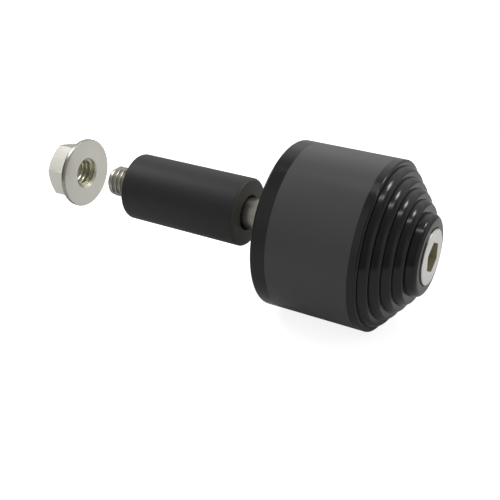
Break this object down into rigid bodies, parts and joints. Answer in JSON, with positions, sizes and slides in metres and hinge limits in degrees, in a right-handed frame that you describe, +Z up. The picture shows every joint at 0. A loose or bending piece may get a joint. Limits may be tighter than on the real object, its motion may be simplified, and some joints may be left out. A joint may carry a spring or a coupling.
{
  "type": "bar end weight",
  "caption": "Round stepped weight with a long screw, rubber expander sleeve and flange nut, fixed in a handlebar's open end.",
  "frame": {"origin": "centre of the head's back face, which sits against the end of the bar", "axes": "+X along the screw's axis towards the nose, +Z up, +Y across"},
  "size_m": [0.0799, 0.0306, 0.0306],
  "materials": {
    "black_coat": "gloss",
    "bright_steel": "satin",
    "plated_steel": "satin",
    "black_rubber": "satin"
  },
  "bodies": {
    "root": {"weight_head": "black_coat", "clamp_screw": "bright_steel", "expander_sleeve": "black_rubber", "flange_nut": "plated_steel"}
  },
  "joints": []
}
